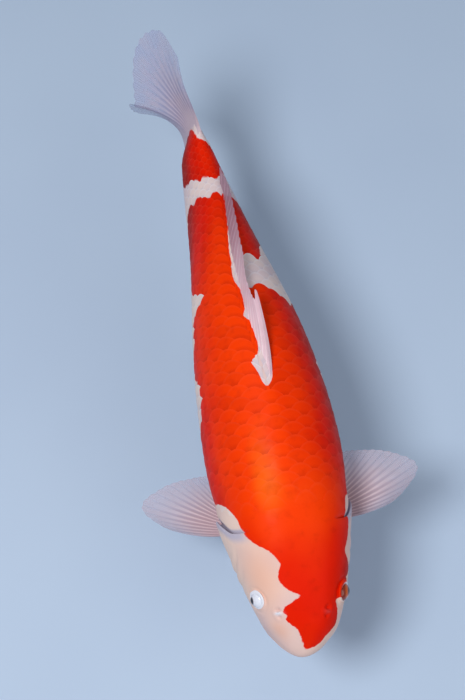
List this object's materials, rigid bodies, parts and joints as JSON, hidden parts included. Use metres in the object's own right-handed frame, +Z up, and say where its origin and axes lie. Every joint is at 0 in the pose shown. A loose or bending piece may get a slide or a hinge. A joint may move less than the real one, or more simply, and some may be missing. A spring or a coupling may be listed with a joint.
{
  "type": "koi carp model",
  "caption": "Life-size display model of a Kohaku koi carp, red on white, in a gentle swimming bend, held over a flat base by slim rods.",
  "frame": {"origin": "centre of the stand base's underside, on the floor", "axes": "+Z up; the head points towards -Y and the tail towards +Y; the fish's left side faces +X"},
  "size_m": [0.3095, 0.6572, 0.2616],
  "materials": {
    "skin": "wet-looking fish skin, red-orange patches on white",
    "fins": "pinkish-white ribbed fins, clearer at the margins",
    "eyes": "clear cornea over a pale iris and a black pupil",
    "stand_base": "satin light grey",
    "stand_rods": "fine brushed steel"
  },
  "bodies": {
    "root": {"head": "skin", "lower_jaw": "skin", "gill_cover_left": "skin", "gill_cover_right": "skin", "trunk": "skin", "tail_stem": "skin", "dorsal_fin": "fins", "caudal_fin": "fins", "anal_fin": "fins", "pectoral_fin_left": "fins", "pectoral_fin_right": "fins", "pelvic_fin_left": "fins", "pelvic_fin_right": "fins", "barbel_lip_left": "skin", "barbel_lip_right": "skin", "barbel_corner_left": "skin", "barbel_corner_right": "skin", "eye_left": "eyes", "eye_right": "eyes", "stand_base": "stand_base", "stand_rod_front": "stand_rods", "stand_rod_rear": "stand_rods"}
  },
  "joints": []
}
